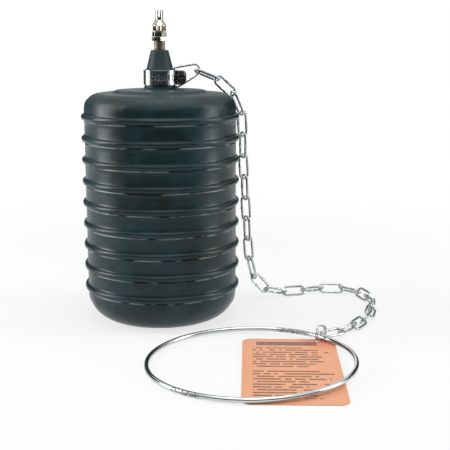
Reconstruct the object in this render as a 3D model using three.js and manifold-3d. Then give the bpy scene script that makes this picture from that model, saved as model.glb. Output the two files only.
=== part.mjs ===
// Inflatable pipe plug, standing on its flat base.
// A ribbed rubber bag on a barbed neck insert, a tyre-type inflation valve with its cap,
// and a lowering chain, held by the neck clamp, that ends in a split ring, a pull ring and a tag.
// Millimetres, +Z up, origin at the centre of the base; -Y is the side seen from the front.

import * as THREE from 'three';
import { mergeVertices } from 'three/addons/utils/BufferGeometryUtils.js';
import Module from 'manifold-3d';

const wasm = await Module();
wasm.setup();

// Driving dimensions: clearances
const seatGap = 0.3; // between pieces that touch
const floorGap = 0.05; // under the loose pieces that lie beside the plug

// Driving dimensions: rubber bag
const bodyRadius = 67.6;
const bodyHeight = 204; // base to the flat of the shoulder
const baseCorner = 26;
const shoulderCorner = 14;
const wall = 8;
const ribPitch = 19.05;
const firstRib = 31; // centre of the lowest rib above the base
const ribHeight = 2.8;
const ribWidth = 5.6;
const plateauRadius = 39; // raised disc round the neck
const plateauHeight = 2.6;
const plateauEdge = 0.8; // height of the step where the disc's slope meets the shoulder
const topDome = 0.9; // how far the disc rises towards the neck

// Driving dimensions: neck and nose, moulded in one with the bag
const neckRadius = 13.5;
const neckFillet = 3.4;
const clampSeat = 17.1; // length of the neck under the clamp, with its run-outs
const noseBase = 11.8;
const noseTip = 7.8;
const noseLength = 16.8;
const noseLip = 4.4; // rubber above the insert
const noseEdge = 1;

// Driving dimensions: neck insert
const insertWall = 3;
const insertBarb = 0.7;
const barbPitch = 4.5;
const barbRise = 0.4;
const insertFlange = 20;
const insertFlangeThickness = 3;

// Driving dimensions: valve
const nippleRadius = 5.1;
const nippleWall = 1.6;
const nippleShow = 7.5; // thread that shows above the nose
const nippleGrip = 11; // thread inside the insert
const reducerFlats = 12.4;
const reducerHeight = 3.4;
const reducerTurn = 12; // degrees that its hexagon is turned
const valveFlats = 11.1;
const valveHexHeight = 4;
const valveTurn = 24; // degrees that its hexagon is turned
const stemRadius = 3.85;
const stemHeight = 6.2;
const coreBore = 2.6;
const spigotLength = 1.5;
const spigotWall = 0.8;

// Driving dimensions: valve core
const barrelHeight = 8;
const barrelBore = 1.7;
const barrelLedge = 1.2;
const pinRadius = 0.6;
const pinTravel = 1.5;
const pinSink = 0.4; // pin end below the rim of the stem
const pinHeadRadius = 1.5;
const pinHeadHeight = 0.5;
const collarHeight = 0.6;
const springWire = 0.35;
const springTurns = 4;
const sealHeight = 1;

// Driving dimensions: valve cap
const capRadius = 6.4;
const capSkirt = 5.6;
const capCone = 4.4;
const capTipRadius = 3.4;
const capTipLength = 8.6;
const capForkDepth = 6.2;
const capForkWidth = 2;
const capForkBore = 1.6;
const gasketThickness = 0.6;
const capEdge = 0.4;

// Driving dimensions: neck clamp
const bandWidth = 12.7;
const bandThickness = 0.7;
const bandStart = 12; // degrees past the housing's middle where the band begins
const bandTail = 126; // degrees from the housing round the front to the free end
const tailMargin = 4; // degrees without slots at both ends of the tail
const bulgeSpan = 20; // degrees over which the band stands off for the end link
const layerSpan = 14; // degrees over which it climbs onto its own start
const bandSteps = 84;
const slotPitch = 3.2;
const slotWidth = 1.3;
const slotHeight = 4.6;
const hoodLength = 11;
const hoodForward = 6.6; // part of that length in front of the plug's axis
const hoodDepth = 7.8;
const hoodHeight = 13.1;
const hoodWall = 0.9;
const hoodRound = 4;
const wormRadius = 3;
const pilotRadius = 1.6;
const screwFlats = 6.4;
const screwHead = 3.2;
const screwSlotWidth = 1.1;
const screwSlotDepth = 1.2;

// Driving dimensions: chain
const linkLength = 26;
const linkWidth = 11;
const linkWire = 2.3;
const linkPlay = 1.2; // between the bows of two links in line
const linkLean = 55; // degrees that every second link leans from lying flat
const hangLean = 85; // the same where the chain hangs
const lastLean = -15; // the same for the link in the split ring
const endLinkAzimuth = 38; // where the end link goes under the band
const endLinkRise = 6; // how far its free bow stands above its middle
const endCorner = 3.2;
const endSlack = 0.9; // how much wider than its neighbours the end link is
const endPlay = 0.9; // extra room between its bow and the next link's

// Driving dimensions: split ring, pull ring and tag
const splitRadius = 7.75;
const splitWire = 1.4;
const splitTurns = 2;
const splitPlay = 1.1; // between the ring and the bow of the last link
const splitAzimuth = -123; // way that the split ring's plane points, from the chain to the tag
const pullRadius = 82;
const pullWire = 4;
const pullAzimuth = 43; // from the pull ring's centre to the split ring
const pullRiseAzimuth = 17; // side on which the pull ring stands highest
const tagWidth = 77;
const tagLength = 142;
const tagThickness = 0.6;
const tagCorner = 8;
const tagHole = 2.9;
const tagHoleMargin = 2; // card between the hole and the tag's end
const tagHoleOffset = 25; // hole from the tag's centre line
const tagLift = 2; // height of the card's edge at the hole, where the split ring passes under it
const tagAzimuth = -91.5; // way that the tag's length points

const radians = THREE.MathUtils.degToRad;
const vertical = new THREE.Vector3(0, 0, 1);
const parts = new THREE.Group();

// Materials
const rubber = new THREE.MeshStandardMaterial({ color: '#2c3b3e', roughness: 0.5, metalness: 0 });
const sealRubber = new THREE.MeshStandardMaterial({ color: '#1b1c1c', roughness: 0.7, metalness: 0 });
const zinc = new THREE.MeshStandardMaterial({ color: '#c3c8c9', roughness: 0.3, metalness: 1 });
const nickel = new THREE.MeshStandardMaterial({ color: '#d6d8d4', roughness: 0.2, metalness: 1 });
const threadSteel = new THREE.MeshStandardMaterial({ color: '#8d8478', roughness: 0.5, metalness: 1 });
const brass = new THREE.MeshStandardMaterial({ color: '#c3a25a', roughness: 0.35, metalness: 1 });
const stainless = new THREE.MeshStandardMaterial({ color: '#dfe3e3', roughness: 0.18, metalness: 1 });
const card = new THREE.MeshStandardMaterial({ color: '#f2a27c', roughness: 0.6, metalness: 0 });

// Helpers
function addPart(name, geometry, material) {
  const mesh = new THREE.Mesh(geometry, material);
  mesh.name = name;
  parts.add(mesh);
  return mesh;
}

function welded(geometry) {
  const bare = geometry.clone();
  bare.deleteAttribute('normal');
  bare.deleteAttribute('uv');
  return mergeVertices(bare, 1e-4);
}

function toSolid(geometry) {
  const mesh = welded(geometry);
  return new wasm.Manifold(new wasm.Mesh({
    numProp: 3,
    vertProperties: new Float32Array(mesh.attributes.position.array),
    triVerts: new Uint32Array(mesh.index.array),
  }));
}

function toGeometry(solid) {
  const mesh = solid.getMesh();
  const geometry = new THREE.BufferGeometry();
  geometry.setAttribute('position', new THREE.BufferAttribute(mesh.vertProperties, 3));
  geometry.setIndex(new THREE.BufferAttribute(mesh.triVerts, 1));
  return geometry;
}

function join(...pieces) {
  return toGeometry(pieces.map(toSolid).reduce((sum, piece) => sum.add(piece)));
}

function cut(geometry, ...tools) {
  return toGeometry(tools.map(toSolid).reduce((rest, tool) => rest.subtract(tool), toSolid(geometry)));
}

// A profile of [radius, height] points turned about the Z axis.
function turned(profile, segments = 20) {
  const points = profile.map(([r, z]) => new THREE.Vector2(r, z));
  return new THREE.LatheGeometry(points, segments).rotateX(Math.PI / 2);
}

function tube(inner, outer, z0, z1, segments = 20) {
  return turned([[inner, z0], [outer, z0], [outer, z1], [inner, z1], [inner, z0]], segments);
}

function rod(radius, z0, z1, segments = 20) {
  return turned([[0, z0], [radius, z0], [radius, z1], [0, z1]], segments);
}

function box(dx, dy, dz, x, y, z) {
  return new THREE.BoxGeometry(dx, dy, dz).translate(x, y, z);
}

function hexPrism(flats, z0, z1) {
  const prism = new THREE.CylinderGeometry(flats / Math.sqrt(3), flats / Math.sqrt(3), z1 - z0, 6);
  return prism.rotateX(Math.PI / 2).translate(0, 0, (z0 + z1) / 2);
}

// Points of an arc in a profile, from one angle in degrees to another.
function arc(r, z, radius, from, to, steps) {
  return Array.from({ length: steps + 1 }, (_, i) => {
    const angle = radians(from + ((to - from) * i) / steps);
    return [r + radius * Math.cos(angle), z + radius * Math.sin(angle)];
  });
}

function roundWire(radius, sides) {
  const corners = Array.from({ length: sides }, (_, i) => {
    const angle = (2 * Math.PI * i) / sides;
    return new THREE.Vector2(radius * Math.cos(angle), radius * Math.sin(angle));
  });
  return new THREE.Shape(corners);
}

// A closed loop of round wire in the XY plane, laid round two or more discs { x, y, r }
// that are listed anticlockwise; r is the radius of the wire's centre line.
function wireLoop(discs, wire, arcSteps, sides) {
  const leave = discs.map((disc, i) => {
    const next = discs[(i + 1) % discs.length];
    const dx = next.x - disc.x;
    const dy = next.y - disc.y;
    return Math.atan2(dy, dx) - Math.acos((disc.r - next.r) / Math.hypot(dx, dy));
  });
  const stations = discs.flatMap((disc, i) => {
    const from = leave[(i + discs.length - 1) % discs.length];
    const sweep = THREE.MathUtils.euclideanModulo(leave[i] - from, 2 * Math.PI);
    return Array.from({ length: arcSteps + 1 }, (_, k) => ({ ...disc, angle: from + (sweep * k) / arcSteps }));
  });
  const positions = stations.flatMap(({ x, y, r, angle }) => Array.from({ length: sides }, (_, k) => {
    const around = (2 * Math.PI * k) / sides;
    const reach = r + (wire / 2) * Math.cos(around);
    return [x + reach * Math.cos(angle), y + reach * Math.sin(angle), (wire / 2) * Math.sin(around)];
  })).flat();
  const indices = stations.flatMap((_, i) => Array.from({ length: sides }, (_, k) => {
    const j = (i + 1) % stations.length;
    const m = (k + 1) % sides;
    const [a, b, c, d] = [i * sides + k, j * sides + k, j * sides + m, i * sides + m];
    return [a, b, c, a, c, d];
  })).flat();
  const geometry = new THREE.BufferGeometry();
  geometry.setAttribute('position', new THREE.Float32BufferAttribute(positions, 3));
  geometry.setIndex(indices);
  return geometry;
}

class Helix extends THREE.Curve {
  constructor(radius, pitch, turns) {
    super();
    Object.assign(this, { radius, pitch, turns });
  }

  getPoint(t, target = new THREE.Vector3()) {
    const angle = 2 * Math.PI * this.turns * t;
    const height = this.pitch * this.turns * (t - 0.5);
    return target.set(this.radius * Math.cos(angle), this.radius * Math.sin(angle), height);
  }
}

function coil(radius, wire, pitch, turns, stepsPerTurn, sides) {
  return new THREE.ExtrudeGeometry(roundWire(wire / 2, sides), {
    steps: Math.round(turns * stepsPerTurn),
    bevelEnabled: false,
    extrudePath: new Helix(radius, pitch, turns),
  });
}

// Heights up the axis
const plateauTop = bodyHeight + plateauHeight;
const neckBase = plateauTop + topDome;
const clampTop = neckBase + clampSeat;
const clampMiddle = neckBase + neckFillet + (clampSeat - neckFillet) / 2 - seatGap;
const noseTop = clampTop + noseLength;
const insertTop = noseTop - noseLip;
const insertRadius = nippleRadius + seatGap + insertWall;
const noseBore = nippleRadius + seatGap;

// Rubber bag with its neck and nose: one moulding, open at the tip of the nose.
const insertNose = insertRadius - insertWall / 2 - seatGap;
const capInner = bodyHeight - wall;
const ribCount = 1 + Math.floor((bodyHeight - shoulderCorner - ribWidth / 2 - firstRib) / ribPitch);
const ribs = Array.from({ length: ribCount }, (_, i) => {
  const z = firstRib + ribPitch * i;
  return [-1, -0.72, 0, 0.72, 1].map((s) => [bodyRadius + ribHeight * Math.sqrt(1 - s * s), z + (s * ribWidth) / 2]);
}).flat();
const bagOutside = [
  [0, 0],
  ...arc(bodyRadius - baseCorner, baseCorner, baseCorner, -90, 0, 6),
  ...ribs,
  ...arc(bodyRadius - shoulderCorner, bodyHeight - shoulderCorner, shoulderCorner, 0, 90, 6),
  [plateauRadius + plateauHeight, bodyHeight + plateauEdge],
  [plateauRadius, plateauTop],
  ...arc(neckRadius + neckFillet, neckBase + neckFillet, neckFillet, 270, 180, 3),
  [neckRadius, clampTop],
  [noseBase, clampTop],
  [noseTip, noseTop - noseEdge],
  [noseTip - noseEdge, noseTop],
];
const bagInside = [
  [noseBore, noseTop],
  [noseBore, insertTop + seatGap],
  [insertNose + seatGap, insertTop + seatGap],
  [insertRadius + insertBarb + seatGap, clampTop],
  [insertRadius + insertBarb + seatGap, capInner],
  ...arc(bodyRadius - shoulderCorner, bodyHeight - shoulderCorner, shoulderCorner - wall, 90, 0, 3),
  ...arc(bodyRadius - baseCorner, baseCorner, baseCorner - wall, 0, -90, 4),
  [0, wall],
];
addPart('plug_body', turned([...bagOutside, ...bagInside], 32), rubber);

// Neck insert: a barbed tube with a flange inside the bag and a threaded top for the nipple.
const barbBase = capInner + seatGap;
const barbCount = Math.floor((clampTop - neckFillet - barbBase) / barbPitch);
const barbs = Array.from({ length: barbCount }, (_, i) => [
  [insertRadius, barbBase + barbPitch * i],
  [insertRadius + insertBarb, barbBase + barbPitch * i + barbRise],
  [insertRadius, barbBase + barbPitch * (i + 1)],
]).flat();
const flangeTop = capInner - seatGap;
addPart('neck_insert', turned([
  [noseBore, flangeTop - insertFlangeThickness],
  [insertFlange, flangeTop - insertFlangeThickness],
  [insertFlange, flangeTop],
  [insertRadius, flangeTop],
  ...barbs,
  [insertRadius, clampTop - seatGap],
  [insertNose, insertTop],
  [noseBore, insertTop],
  [noseBore, flangeTop - insertFlangeThickness],
], 14), threadSteel);

// Valve: pipe nipple, hex reducer and valve body, screwed into one another.
const nippleTop = noseTop + nippleShow + reducerHeight / 2;
const reducerBase = noseTop + nippleShow + seatGap;
const reducerTop = reducerBase + reducerHeight;
const hexBase = reducerTop + seatGap;
const hexTop = hexBase + valveHexHeight;
const stemTop = hexTop + stemHeight;
const spigotRadius = coreBore + spigotWall;
addPart('pipe_nipple', tube(nippleRadius - nippleWall, nippleRadius, insertTop - nippleGrip, nippleTop), threadSteel);
addPart('hex_reducer', cut(
  hexPrism(reducerFlats, reducerBase, reducerTop).rotateZ(radians(reducerTurn)),
  rod(nippleRadius + seatGap, reducerBase - 1, nippleTop + seatGap),
  rod(spigotRadius + seatGap, reducerBase, reducerTop + 1),
), nickel);
addPart('valve_body', cut(
  join(
    hexPrism(valveFlats, hexBase, hexTop).rotateZ(radians(valveTurn)),
    rod(stemRadius, hexBase, stemTop),
    rod(spigotRadius, hexBase - spigotLength, hexTop),
  ),
  rod(coreBore, hexBase - spigotLength - 1, stemTop + 1),
), nickel);

// Valve core: barrel, sprung pin and the seal that the pin carries.
const barrelTop = stemTop - pinSink - pinTravel;
const barrelBase = barrelTop - barrelHeight;
const barrelRadius = coreBore - seatGap;
const ledgeTop = barrelBase + barrelLedge;
const pinTop = stemTop - pinSink;
const collarRadius = barrelBore - seatGap / 2;
const collarTop = barrelTop - seatGap;
const collarBase = collarTop - collarHeight;
const pinBore = pinRadius + seatGap;
const sealTop = barrelBase - seatGap;
addPart('valve_core_barrel', turned([
  [pinBore, barrelBase],
  [barrelRadius, barrelBase],
  [barrelRadius, barrelTop],
  [barrelBore, barrelTop],
  [barrelBore, ledgeTop],
  [pinBore, ledgeTop],
  [pinBore, barrelBase],
], 14), brass);
addPart('valve_core_pin', turned([
  [0, sealTop - sealHeight - seatGap - pinHeadHeight],
  [pinHeadRadius, sealTop - sealHeight - seatGap - pinHeadHeight],
  [pinHeadRadius, sealTop - sealHeight - seatGap],
  [pinRadius, sealTop - sealHeight - seatGap],
  [pinRadius, collarBase],
  [collarRadius, collarBase],
  [collarRadius, collarTop],
  [pinRadius, collarTop],
  [pinRadius, pinTop],
  [0, pinTop],
], 12), brass);
addPart('valve_core_seal', tube(pinBore, barrelRadius, sealTop - sealHeight, sealTop, 12), sealRubber);
const springLength = collarBase - ledgeTop - 2 * seatGap - springWire;
const springRadius = (pinRadius + barrelBore) / 2;
addPart(
  'valve_core_spring',
  coil(springRadius, springWire, springLength / springTurns, springTurns, 10, 5),
  stainless,
).position.z = (collarBase + ledgeTop) / 2;

// Valve cap: round skirt, cone and a forked tip that turns the core; gasket inside.
const capBase = hexTop + seatGap;
const capBore = stemRadius + seatGap;
const capRoof = stemTop + gasketThickness + 2 * seatGap;
const skirtTop = capBase + capSkirt;
const coneTop = skirtTop + capCone;
const capTop = coneTop + capTipLength;
addPart('valve_cap', cut(
  turned([
    [0, capRoof],
    [capBore, capRoof],
    [capBore, capBase],
    [capRadius - capEdge, capBase],
    [capRadius, capBase + capEdge],
    [capRadius, skirtTop - capEdge],
    [capRadius - capEdge, skirtTop],
    [capTipRadius + capEdge, coneTop - capEdge],
    [capTipRadius, coneTop],
    [capTipRadius, capTop],
    [0, capTop],
  ], 24),
  rod(capForkBore, capTop - capForkDepth - 1, capTop + 1, 14),
  box(capForkWidth, 3 * capTipRadius, 2 * capForkDepth, 0, 0, capTop),
), nickel);
addPart('cap_gasket', tube(coreBore, capBore - seatGap, capRoof - seatGap - gasketThickness, capRoof - seatGap), sealRubber);

// Neck clamp: the band starts under the housing, goes round the back and on over its own start,
// stands off the neck where the end link passes under it, and ends in a free tail at the front.
const bandInner = neckRadius + seatGap;
const layerStep = bandThickness + seatGap;
const bandSweep = 360 + bandStart + bandTail;
const bulgeAt = 360 + bandStart - endLinkAzimuth;
const bulgeHeight = linkWire + 2 * seatGap;
function bandRadius(sweep) {
  const away = Math.min(Math.abs(sweep - bulgeAt) / bulgeSpan, 1);
  const bulge = bulgeHeight * Math.cos((away * Math.PI) / 2) ** 2;
  const layer = layerStep * THREE.MathUtils.smoothstep(sweep, bulgeAt, bulgeAt + layerSpan);
  return bandInner + Math.max(bulge, layer);
}
function bandPoint(sweep, offset) {
  const angle = radians(bandStart - sweep);
  const radius = bandRadius(sweep) + offset;
  return new THREE.Vector2(radius * Math.cos(angle), radius * Math.sin(angle));
}
const sweeps = Array.from({ length: bandSteps + 1 }, (_, i) => (bandSweep * i) / bandSteps);
const bandOutline = new THREE.Shape([
  ...sweeps.map((sweep) => bandPoint(sweep, bandThickness)),
  ...sweeps.toReversed().map((sweep) => bandPoint(sweep, 0)),
]);
const band = new THREE.ExtrudeGeometry(bandOutline, { depth: bandWidth, bevelEnabled: false });
band.translate(0, 0, clampMiddle - bandWidth / 2);
const outerLayer = bandInner + layerStep + bandThickness / 2;
const slotStep = THREE.MathUtils.radToDeg(slotPitch / outerLayer);
const slotCount = Math.floor((bandTail - 2 * tailMargin) / slotStep);
const slots = Array.from({ length: slotCount }, (_, i) => {
  const slot = box(bandThickness + seatGap, slotWidth, slotHeight, outerLayer + seatGap / 4, 0, clampMiddle);
  return slot.rotateZ(radians(tailMargin - bandTail + slotStep * (i + 0.5)));
});
addPart('clamp_band', cut(band, ...slots), stainless);

const hoodInner = bandInner + layerStep + bandThickness + seatGap;
const hoodOuter = hoodInner + hoodDepth;
const wormAxis = hoodInner + wormRadius;
const hoodFront = -hoodForward;
const hoodBack = hoodFront + hoodLength;
function hoodShape(inset) {
  const shape = new THREE.Shape();
  const half = hoodHeight / 2 - inset;
  const round = hoodRound - inset;
  shape.moveTo(hoodInner, -half);
  shape.lineTo(hoodOuter - inset - round, -half);
  shape.absarc(hoodOuter - inset - round, round - half, round, -Math.PI / 2, 0);
  shape.absarc(hoodOuter - inset - round, half - round, round, 0, Math.PI / 2);
  shape.lineTo(hoodInner, half);
  return shape;
}
// Extrudes a shape drawn in X and Z from one Y to another.
function alongY(shape, y0, y1) {
  const geometry = new THREE.ExtrudeGeometry(shape, { depth: y1 - y0, bevelEnabled: false, curveSegments: 5 });
  return geometry.rotateX(Math.PI / 2).translate(0, y1, clampMiddle);
}
function rodAlongY(radius, y0, y1, segments = 16) {
  return rod(radius, -y1, -y0, segments).rotateX(Math.PI / 2).translate(wormAxis, 0, clampMiddle);
}
const wormFront = hoodFront + 2 * hoodWall;
addPart('clamp_housing', cut(
  alongY(hoodShape(0), hoodFront, hoodBack),
  alongY(hoodShape(hoodWall), hoodFront - 1, hoodFront + hoodWall).translate(-seatGap, 0, 0),
  alongY(hoodShape(hoodWall), wormFront, hoodBack - hoodWall).translate(-seatGap, 0, 0),
  rodAlongY(wormRadius + seatGap, hoodFront, hoodBack - hoodWall),
  rodAlongY(pilotRadius + seatGap, hoodFront, hoodBack + 1),
), stainless);
const headBack = hoodFront + hoodWall - seatGap;
const headFront = headBack - screwHead;
const headHex = hexPrism(screwFlats, -headBack, -headFront).rotateX(Math.PI / 2).translate(wormAxis, 0, clampMiddle);
addPart('clamp_screw', cut(
  join(
    headHex,
    rodAlongY(wormRadius, headBack - 1, hoodBack - hoodWall - seatGap),
    rodAlongY(pilotRadius, hoodBack - hoodWall - 1, hoodBack),
  ),
  box(2 * screwFlats, 2 * screwSlotDepth, screwSlotWidth, wormAxis, headFront, clampMiddle),
), nickel);

// Chain route: points chosen by hand for the line that the chain follows, from the end link over
// the shoulder, down beside the ribs and in a loop on the floor; x counts from the ribs' radius.
const bow = (linkWidth - linkWire) / 2;
const chainLift = bow * Math.sin(radians(linkLean)) + linkWire / 2 + floorGap;
const ribRadius = bodyRadius + ribHeight;
const route = new THREE.CatmullRomCurve3([
  [-38, 18, clampMiddle + 5],
  [-23, 22, bodyHeight + 13],
  [-7.8, 27, bodyHeight + 1],
  [2.2, 31, bodyHeight - 18],
  [4, 35, bodyHeight - 56],
  [8, 39, 80],
  [11, 43, 42],
  [17, 48, 21],
  [33, 56, chainLift + 1.5],
  [60, 66, chainLift],
  [97, 76, chainLift],
  [122, 57, chainLift],
  [126, 15, chainLift],
  [114, -29, chainLift],
  [90, -66, chainLift],
  [46, -97, chainLift + tagLift],
].map(([x, y, z]) => new THREE.Vector3(ribRadius + x, y, z)), false, 'centripetal');

// Steps along the route by one link pitch at a time: the places where the links' bows meet.
const linkPitch = linkLength - 2 * linkWire - linkPlay;
const routeSamples = route.getPoints(6000).map((p) => p.setZ(Math.max(p.z, chainLift)));
const joints = [routeSamples[0]];
for (const point of routeSamples) {
  const last = joints.at(-1);
  if (point.distanceTo(last) >= linkPitch) {
    joints.push(point.clone().sub(last).setLength(linkPitch).add(last));
  }
}

// An odd number of links, so that the first and the last one lie alike.
if (joints.length % 2 === 1) {
  joints.pop();
}

// Each link lies along one step. Its upright direction is carried back from the last link,
// which lies on the floor. The links lean to one side and the other by turns, evenly where
// the chain hangs and with every second link nearly on edge where it lies.
const headings = joints.slice(1).map((joint, i) => joint.clone().sub(joints[i]).normalize());
const uprights = [];
let upright = vertical;
for (let i = headings.length - 1; i >= 0; i -= 1) {
  const next = headings[Math.min(i + 1, headings.length - 1)];
  upright = upright.clone().applyQuaternion(new THREE.Quaternion().setFromUnitVectors(next, headings[i]));
  uprights[i] = upright;
}
const hangSlope = -0.3;
const straight = (linkLength - linkWidth) / 2;
const linkDiscs = [{ x: -straight, y: 0, r: bow }, { x: straight, y: 0, r: bow }];
headings.forEach((heading, i) => {
  const onEdge = heading.z < hangSlope ? hangLean : linkLean;
  const flat = i === headings.length - 1 ? lastLean : onEdge - 90;
  const lean = i % 2 === 0 ? flat : onEdge;
  const across = new THREE.Vector3().crossVectors(uprights[i], heading);
  const frame = new THREE.Matrix4().makeBasis(heading, across, uprights[i]);
  frame.multiply(new THREE.Matrix4().makeRotationX(radians(lean)));
  frame.setPosition(joints[i].clone().add(joints[i + 1]).multiplyScalar(0.5));
  const link = addPart(`chain_link_${String(i + 2).padStart(2, '0')}`, wireLoop(linkDiscs, linkWire, 5, 6), zinc);
  link.applyMatrix4(frame);
});

// End link: spread wide enough to take the band, with its free bow at the chain's first joint.
const anchorRadius = neckRadius + seatGap + linkWire / 2;
const anchor = new THREE.Vector2(anchorRadius, 0).rotateAround(new THREE.Vector2(), radians(endLinkAzimuth));
const endReach = new THREE.Vector2(joints[0].x, joints[0].y).sub(anchor);
const endHalf = bandWidth / 2 + seatGap + linkWire / 2 - endCorner + endSlack;
const endBowRadius = bow + endSlack;
const endBow = endReach.length() + (linkWire + linkPlay) / 2 + endPlay - endBowRadius;
const endLink = addPart('chain_link_01', wireLoop([
  { x: endCorner, y: -endHalf, r: endCorner },
  { x: endBow, y: endLinkRise, r: endBowRadius },
  { x: endCorner, y: endHalf, r: endCorner },
], linkWire, 5, 6), zinc);
endLink.rotation.set(Math.PI / 2, 0, endReach.angle(), 'ZYX');
endLink.position.set(anchor.x, anchor.y, clampMiddle);

// Split ring: a two-turn coil standing on edge, through the last link, round the pull ring's wire
// and through the hole in the tag.
const splitWay = new THREE.Vector3(Math.cos(radians(splitAzimuth)), Math.sin(radians(splitAzimuth)), 0);
const coilRadius = splitRadius - splitWire / 2;
const splitHeight = splitRadius + floorGap;
const strandInset = splitWire / 2 + linkWire / 2 + splitPlay;
const strand = joints.at(-1).clone().addScaledVector(headings.at(-1), (linkWire + linkPlay) / 2 - strandInset);
const strandReach = Math.sqrt(coilRadius ** 2 - (splitHeight - strand.z) ** 2);
const splitCentre = strand.clone().addScaledVector(splitWay, strandReach).setZ(splitHeight);
const splitRing = addPart(
  'split_ring',
  coil(coilRadius, splitWire, splitWire + seatGap, splitTurns, 18, 6).rotateY(-Math.PI / 2).rotateZ(Math.PI / 2),
  zinc,
);
splitRing.rotation.z = radians(splitAzimuth);
splitRing.position.copy(splitCentre);

// Tag: a rounded card that leans on the split ring with its end at the hole.
const tagHoleX = tagHoleMargin + tagHole;
const tagShape = new THREE.Shape();
const tagLow = -tagHoleOffset - tagWidth / 2;
const tagHigh = tagLow + tagWidth;
tagShape.moveTo(tagCorner, tagLow);
tagShape.absarc(tagLength - tagCorner, tagLow + tagCorner, tagCorner, -Math.PI / 2, 0);
tagShape.absarc(tagLength - tagCorner, tagHigh - tagCorner, tagCorner, 0, Math.PI / 2);
tagShape.absarc(tagCorner, tagHigh - tagCorner, tagCorner, Math.PI / 2, Math.PI);
tagShape.absarc(tagCorner, tagLow + tagCorner, tagCorner, Math.PI, (3 * Math.PI) / 2);
tagShape.holes.push(new THREE.Path().absarc(tagHoleX, 0, tagHole, 0, 2 * Math.PI, true));
const tag = addPart(
  'tag',
  new THREE.ExtrudeGeometry(tagShape, { depth: tagThickness, bevelEnabled: false, curveSegments: 5 }),
  card,
);
tag.rotation.set(0, Math.asin(tagLift / tagLength), radians(tagAzimuth), 'ZYX');
const cardLevel = floorGap + tagLift + tagThickness / 2;
const holeReach = Math.sqrt(coilRadius ** 2 - (splitHeight - cardLevel) ** 2);
const tagStart = new THREE.Vector3(-tagHoleX, 0, 0).applyAxisAngle(vertical, radians(tagAzimuth));
tag.position.copy(splitCentre).addScaledVector(splitWay, holeReach).add(tagStart).setZ(floorGap + tagLift);

// Pull ring: its wire lies in the split ring, on the lifted end of the tag, and slopes down
// to the floor on its other side.
const pullHigh = floorGap + tagLift + tagThickness + seatGap + pullWire / 2;
const pullLow = floorGap + pullWire / 2;
const pullTurn = radians(pullAzimuth - pullRiseAzimuth);
const pullRise = (2 * (pullHigh - pullLow)) / (1 + Math.cos(pullTurn));
const pullSlope = Math.asin(pullRise / (2 * pullRadius));
const pullRing = addPart('pull_ring', new THREE.TorusGeometry(pullRadius, pullWire / 2, 6, 56), zinc);
pullRing.rotation.set(0, -pullSlope, radians(pullRiseAzimuth), 'ZYX');
const pullReach = new THREE.Vector3(pullRadius, 0, 0).applyAxisAngle(vertical, radians(pullAzimuth));
pullRing.position.copy(splitCentre).sub(pullReach).setZ(pullLow + pullRise / 2);

export default parts;
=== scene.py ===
# %% [markdown]
# # Inflatable pipe plug
# A ribbed rubber bag stands on a table. A metal valve sits on its neck, a worm-drive clamp holds
# the neck, and a chain hangs from the clamp to a split ring, a large wire ring and a card tag.
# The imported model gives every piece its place, so we load it first and measure it.

# %% Load the frame
import math

import bmesh
import bpy
import numpy as np
from mathutils import Matrix, Vector, noise


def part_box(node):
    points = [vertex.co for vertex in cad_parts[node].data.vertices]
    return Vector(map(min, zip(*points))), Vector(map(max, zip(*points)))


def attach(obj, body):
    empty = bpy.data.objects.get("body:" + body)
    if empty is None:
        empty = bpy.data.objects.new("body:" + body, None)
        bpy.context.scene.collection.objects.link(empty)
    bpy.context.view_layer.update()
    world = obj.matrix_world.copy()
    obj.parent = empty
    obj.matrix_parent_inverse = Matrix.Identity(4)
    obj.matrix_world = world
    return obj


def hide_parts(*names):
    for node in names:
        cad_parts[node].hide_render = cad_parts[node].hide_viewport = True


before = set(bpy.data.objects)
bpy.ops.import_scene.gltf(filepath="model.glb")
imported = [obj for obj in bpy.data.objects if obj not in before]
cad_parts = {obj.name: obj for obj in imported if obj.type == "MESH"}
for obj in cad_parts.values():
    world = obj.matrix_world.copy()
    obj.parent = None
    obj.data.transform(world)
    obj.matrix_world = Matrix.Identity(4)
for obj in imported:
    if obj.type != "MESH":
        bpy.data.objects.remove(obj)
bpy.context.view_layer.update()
MM = 0.001

# %% [markdown]
# ## The camera
# A longish lens from a little above the table. Its height and aim are fitted to the ends of the
# ribs, the tip of the valve and the outline of the wire ring. The image is square, so one focal
# length serves both ways.

# %% Camera
CAMERA_AT = Vector((57.7, -850, 250)) * MM
CAMERA_AIM = Vector((57.7, 0, 84)) * MM
LENS = 75.8
SENSOR = 36
camera_data = bpy.data.cameras.new("camera")
camera_data.lens = LENS
camera_data.sensor_width = SENSOR
camera = bpy.data.objects.new("camera", camera_data)
camera.location = CAMERA_AT
camera.rotation_euler = (CAMERA_AIM - CAMERA_AT).to_track_quat("-Z", "Y").to_euler()
bpy.context.scene.collection.objects.link(camera)
bpy.context.scene.camera = camera
print("camera", tuple(round(c, 3) for c in camera.location), "lens", LENS)

# %% [markdown]
# ## Colours and nodes
# Colours are written as they look on a screen, in hex, and one function turns them to the linear
# values that the renderer works with. A second small function adds a node with its settings and
# its links, so that each material below reads as a short recipe.


# %% Helpers for materials
def linear(colour):
    values = [int(colour[i:i + 2], 16) / 255 for i in (1, 3, 5)]
    lights = [v / 12.92 if v <= 0.04045 else ((v + 0.055) / 1.055) ** 2.4 for v in values]
    return (*lights, 1.0)


def add(tree, kind, inputs, **settings):
    node = tree.nodes.new(kind)
    for name, value in settings.items():
        setattr(node, name, value)
    for name, value in inputs.items():
        if isinstance(value, bpy.types.NodeSocket):
            tree.links.new(value, node.inputs[name])
        else:
            node.inputs[name].default_value = value
    return node.outputs


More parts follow.
